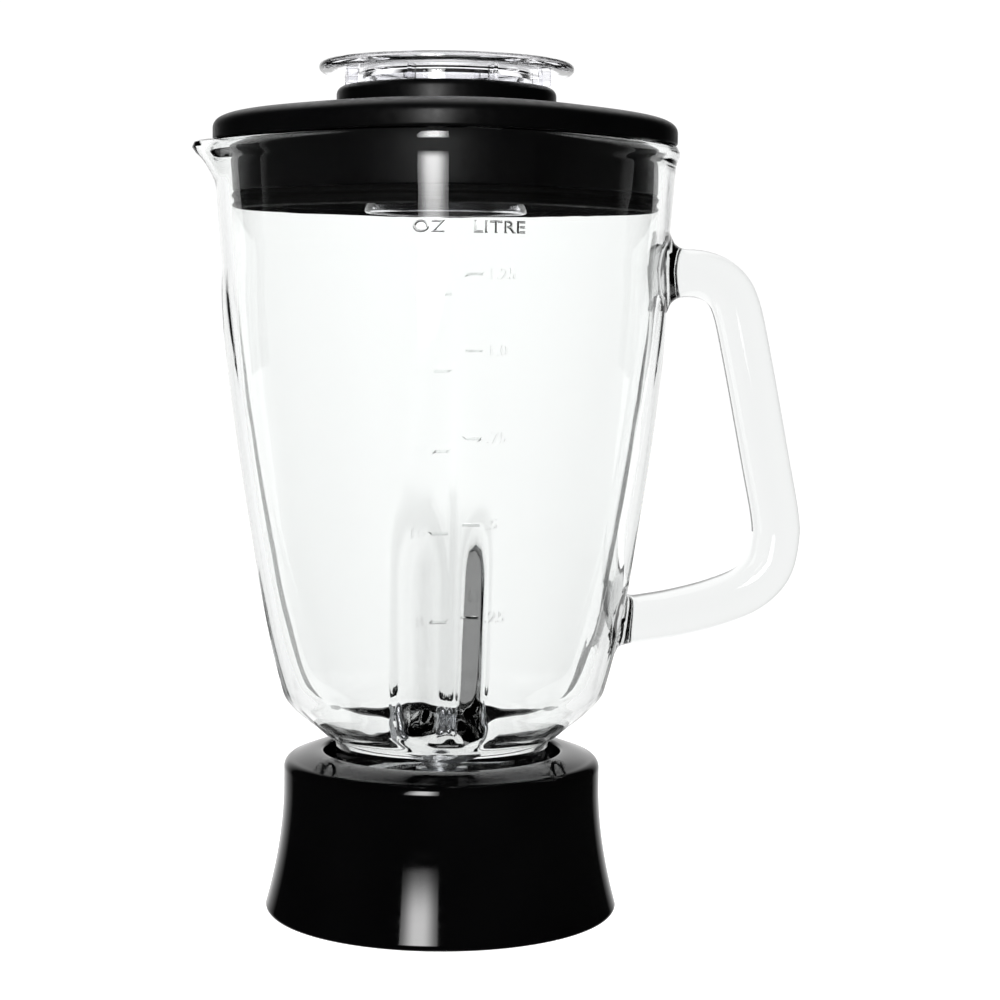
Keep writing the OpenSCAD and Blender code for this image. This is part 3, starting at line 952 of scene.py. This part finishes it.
def make_jug():
    glass = pressed_glass()
    jug = make_wall(glass)
    parts = [make_handle(glass), make_scale()]
    parts += [
        thread_ridge("thread", FOOT_R, FOOT_R + FOOT_THREAD_H, THREAD_Z, start, 200, glass)
        for start in (0, 180)
    ]
    for part in parts:
        boolean(jug, part, "UNION")
    jug.name = "glass_jug_body"
    smooth(jug, 38)
    finish_piece(jug, "jug", "jug_glass", "glass_jug")


# ---------------------------------------------------------------- lid and cap

LID_R = LID_HI.y
NECK_R = 33.1
NECK_TOP = LID_HI.z
SKIRT_R = 64.2
SKIRT_T = 2.4
SKIRT_LOW = LID_LO.z
LID_EDGE_Z = 241.4
CROWN_RUN = 12.0
CROWN_LOW = 1.6
CROWN_RISE = 0.6
CUP_HOLE_R = 26.0
GUIDE_T = 2.4
GUIDE_LOW = 229.0


LID_COLUMNS = 192


def squared_rings(outline):
    """Rings from (corner radius, height, side pull) rows."""
    angles = np.linspace(0, 2 * math.pi, LID_COLUMNS, endpoint=False)
    rows = []
    for r, z, pull in outline:
        radius = r * square_factor(angles, pull)
        x, y = radius * np.cos(angles), radius * np.sin(angles)
        rows.append(np.column_stack([x, y, np.full(LID_COLUMNS, z)]))
    return np.array(rows)


def with_pull(points):
    return [(r, z, SIDE_PULL) for r, z in points]


def make_lid_cover(material):
    edge = LID_EDGE_Z
    seat = SKIRT_LOW + 3.6
    outside = (
        with_pull([(SKIRT_R - 1.2, SKIRT_LOW), (SKIRT_R - 1.2, seat - 0.3), (SKIRT_R - 0.9, seat)])
        + with_pull(arc((SKIRT_R - 0.5, seat + 0.5), 0.5, -90, 0, 3))
        + with_pull([(SKIRT_R, 222), (SKIRT_R, RIM_Z - 0.6), (SKIRT_R + 0.6, RIM_Z)])
        + with_pull([(LID_R - 1.2, RIM_Z)])
        + with_pull(arc((LID_R - 0.8, RIM_Z + 0.8), 0.8, -80, 0, 4))
        + with_pull(bezier((LID_R, edge - 4.0), (LID_R, edge - 1.0), (LID_R - 2.7, edge + 0.5),
                           (LID_R - CROWN_RUN, edge + CROWN_LOW), 16))
    )
    crown = []
    for t in np.linspace(0.12, 1, 8):
        r = LID_R - CROWN_RUN - t * (LID_R - CROWN_RUN - NECK_R + 1)
        z = edge + CROWN_LOW + CROWN_RISE * math.sin(t * math.pi / 2)
        crown.append((r, z, SIDE_PULL * (1 - t)))
    inner_r = SKIRT_R - SKIRT_T
    inside = [
        (CUP_HOLE_R + 1.2, edge + 1, 0), (CUP_HOLE_R + 1.2, edge - 3, 0), (NECK_R, edge - 3, 0),
    ] + with_pull([
        (inner_r - 1.5, edge - 3), (inner_r, edge - 4.5), (inner_r, 225), (inner_r, SKIRT_LOW + 0.3),
        (inner_r + 0.3, SKIRT_LOW),
    ])
    shell = new_object("lid_shell", *ring_grid(squared_rings(outside + crown + inside)), material)
    guide_r = CUP_HOLE_R + GUIDE_T
    neck_outline = (
        [(CUP_HOLE_R, GUIDE_LOW + 0.4), (CUP_HOLE_R + 0.4, GUIDE_LOW), (guide_r - 0.4, GUIDE_LOW),
         (guide_r, GUIDE_LOW + 0.4), (guide_r, edge - 1.5), (NECK_R, edge - 1.5)]
        + bezier((NECK_R + 1.1, edge + 1.9), (NECK_R + 0.2, edge + 2.2), (NECK_R, edge + 2.6),
                 (NECK_R, edge + 3.4), 4)
        + arc((NECK_R - 2.4, NECK_TOP - 2.4), 2.4, 0, 90, 9)
        + arc((CUP_HOLE_R + 0.9, NECK_TOP - 0.9), 0.9, 90, 180, 4)
    )
    neck = lathe("lid_neck", neck_outline, material, LID_COLUMNS)
    lid = smooth(join([shell, neck], "lid_cover_shell"), 40)
    finish_piece(lid, "lid", "lid_black", "lid_cover")


def make_lid_seal(material):
    """A soft ring with two thin lips that reach towards the glass."""
    low = SEAL_LO.z
    inner, outer = SKIRT_R - SKIRT_T, SKIRT_R + 0.2
    outline = with_pull(
        [(inner + 0.2, low), (outer - 1.4, low), (outer + 0.1, low + 0.4), (outer + 0.3, low + 0.9),
         (outer - 0.5, low + 1.7), (outer - 0.6, low + 2.6), (outer + 0.2, low + 3.3),
         (outer + 0.3, low + 3.8), (outer - 0.4, low + 4.6), (outer - 0.9, low + 5.0),
         (SKIRT_R - 1.25, low + 5.0),
         (SKIRT_R - 1.25, low + 1.5), (inner, low + 1.4), (inner, low + 0.2)]
    )
    seal = smooth(new_object("lid_seal_ring", *ring_grid(squared_rings(outline)), material), 30)
    finish_piece(seal, "lid", "seal_rubber", "lid_seal")


CUP_R = 25.3
CUP_LOW_R = 24.3
CUP_T = 1.8
DISC_T = 3.1
CAP_FOOT_RADII = (29.0, 32.6)
CAP_FOOT_HALF_W = 0.7


def make_cap(material):
    """The clear filler cap: a disc on eight feet, with the measuring cup below it."""
    low, top = CAP_LO.z, CAP_HI.z
    disc_r = CAP_HI.x
    disc_z = top - DISC_T
    outline = (
        arc((CUP_LOW_R - 0.9, low + 0.9), 0.9, -180, 0, 6)
        + [(CUP_LOW_R + 0.5, 232), (CUP_R, NECK_TOP), (CUP_R, disc_z - 0.5), (CUP_R + 0.5, disc_z)]
        + [(disc_r - 1.4, disc_z)]
        + arc((disc_r - 1.5, disc_z + 1.5), 1.5, -80, 80, 8)
        + [(disc_r - 1.8, top)]
        + [(CUP_R + 0.4, top), (CUP_R, top - 0.2), (CUP_R - 1.6, top - 1.1), (CUP_R - 2.2, top - 1.2)]
        + [(0.02, top - 1.2), (0.02, disc_z - 0.6), (CUP_R - CUP_T - 1.2, disc_z - 0.6)]
        + [(CUP_R - CUP_T, disc_z - 1.8), (CUP_LOW_R - CUP_T + 0.5, 232)]
    )
    cap = lathe("measuring_cap_body", outline, material, 160)
    heights = (NECK_TOP + 0.1, disc_z + 0.5)
    for foot in radial_blocks("foot", CAP_FOOT_RADII, CAP_FOOT_HALF_W, heights, material):
        boolean(cap, foot, "UNION")
    smooth(cap)
    finish_piece(cap, "cap", "cap_clear", "measuring_cap")


# ---------------------------------------------------------------- collar

WAIST_R = 48.5
FLARE = COLLAR_HI.x - WAIST_R
LIP_R = 1.6
FLARE_Z = 38.0
FLARE_POWER = 1.85
CROWN_R = 46.3
HOLE_R = 36.2
SLEEVE_T = 2.4
SLEEVE_Z = 24.0
LEDGE_Z = 29.0
LEDGE_T = 3.5
LEDGE_R = 28.0
COLLAR_WALL = 2.6
SEAT_R = 48.6
SEAT_H = 8.0
COLLAR_RIB_HALF_W = 1.0
COLLAR_THREAD_H = 1.6


def skirt_outer(z):
    return WAIST_R + FLARE * max(0.0, 1 - max(0.0, z - LIP_R) / (FLARE_Z - LIP_R)) ** FLARE_POWER


def make_collar(material):
    top = COLLAR_HI.z
    outside = (
        arc((skirt_outer(0) - LIP_R, LIP_R), LIP_R, -90, 0, 7)
        + [(skirt_outer(z), z) for z in np.arange(LIP_R + 0.6, FLARE_Z, 1.6)]
        + [(WAIST_R, 40), (WAIST_R, 43.6)]
        + arc((WAIST_R - 3.2, 44.2), 3.2, 0, 78, 10)
    )
    start_r, start_z = outside[-1]
    crown = [
        (start_r - t * (start_r - HOLE_R - 1.2), start_z + (top - start_z) * math.sin(t * math.pi / 2))
        for t in np.linspace(0.1, 1, 10)
    ]
    hole = arc((HOLE_R + 1.2, top - 1.2), 1.2, 95, 180, 5)
    ledge_low = LEDGE_Z - LEDGE_T
    sleeve_r = HOLE_R + SLEEVE_T
    inside = (
        [(HOLE_R, LEDGE_Z), (LEDGE_R + 0.4, LEDGE_Z), (LEDGE_R, LEDGE_Z - 0.4), (LEDGE_R, ledge_low + 0.4),
         (LEDGE_R + 0.4, ledge_low), (HOLE_R - 1, ledge_low), (HOLE_R + 0.6, SLEEVE_Z + 0.3),
         (HOLE_R + 0.9, SLEEVE_Z), (sleeve_r - 0.4, SLEEVE_Z), (sleeve_r, SLEEVE_Z + 0.4),
         (sleeve_r, top - 5.0), (sleeve_r + 0.8, top - 4.2), (CROWN_R - 2, 44.3),
         (WAIST_R - COLLAR_WALL - 0.6, 43.2), (WAIST_R - COLLAR_WALL, 42)]
        + [(skirt_outer(z) - COLLAR_WALL, z) for z in np.arange(FLARE_Z, 13, -3)]
        + [(SEAT_R - 1.2, SEAT_H + 2.4), (SEAT_R - 0.3, SEAT_H + 0.4), (SEAT_R, SEAT_H), (SEAT_R, 0.5),
           (SEAT_R + 0.5, 0)]
    )
    shell = lathe("collar_shell", outside + crown + hole + inside, material, 224)
    radii = (sleeve_r - 0.8, WAIST_R - COLLAR_WALL + 0.4)
    heights = (SLEEVE_Z + 3, SLEEVE_Z + 21)
    parts = [shell] + radial_blocks("rib", radii, COLLAR_RIB_HALF_W, heights, material)
    tip_r = HOLE_R - COLLAR_THREAD_H
    for start in (90, 270):
        parts.append(thread_ridge("ridge", HOLE_R, tip_r, THREAD_Z, start, 180, material))
    collar = smooth(join(parts, "base_collar_shell"), 32)
    finish_piece(collar, "base", "collar_black", "base_collar")


# ---------------------------------------------------------------- small parts from the frame


def dress_small_parts():
    turned = brushed_steel("turned_steel", (1, 1, 14))
    ground = brushed_steel("ground_steel", (6, 1, 1))
    looks = {
        "blade_carrier": black_moulding(),
        "jug_gasket": rubber("gasket_rubber", (0.34, 0.34, 0.33), (0.46, 0.46, 0.45)),
        "housing_washer": rubber("washer_rubber", (0.012, 0.012, 0.012), (0.024, 0.024, 0.024)),
        "drive_coupling": rubber("coupling_rubber", (0.01, 0.01, 0.01), (0.022, 0.022, 0.022)),
    }
    looks["shaft_seal"] = looks["housing_washer"]
    metal = bronze()
    for node in ("upper_bushing", "lower_bushing", "thrust_washer"):
        looks[node] = metal
    for node in ("lower_blade", "upper_blade"):
        looks[node] = ground
    for node in ("bearing_housing", "housing_nut", "spindle", "retaining_ring", "coupling_insert",
                 "shoulder_washer", "blade_spacer", "blade_washer", "blade_nut"):
        looks[node] = turned
    for node, material in looks.items():
        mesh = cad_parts[node].data
        mesh.materials.clear()
        mesh.materials.append(material)


# ---------------------------------------------------------------- scene


def set_rendering():
    """Colour and light-path choices; the size, engine and samples are left alone."""
    scene = bpy.context.scene
    scene.view_settings.view_transform = "Standard"
    scene.cycles.max_bounces = 32
    scene.cycles.transmission_bounces = 28
    scene.cycles.glossy_bounces = 10
    scene.cycles.diffuse_bounces = 4
    scene.cycles.transparent_max_bounces = 16
    scene.cycles.sample_clamp_indirect = 8
    scene.cycles.use_denoising = True


make_camera()
make_world()
make_floor()
make_flags()
make_softbox("strip_left", **STRIP)
make_top_light(height=1.5, size=1.6, radiance=TOP_RADIANCE)
make_jug()
make_lid_cover(satin_black())
make_lid_seal(rubber("seal_rubber", (0.001, 0.001, 0.001), (0.002, 0.002, 0.002)))
make_cap(clear_plastic())
make_collar(gloss_black())
dress_small_parts()
set_rendering()
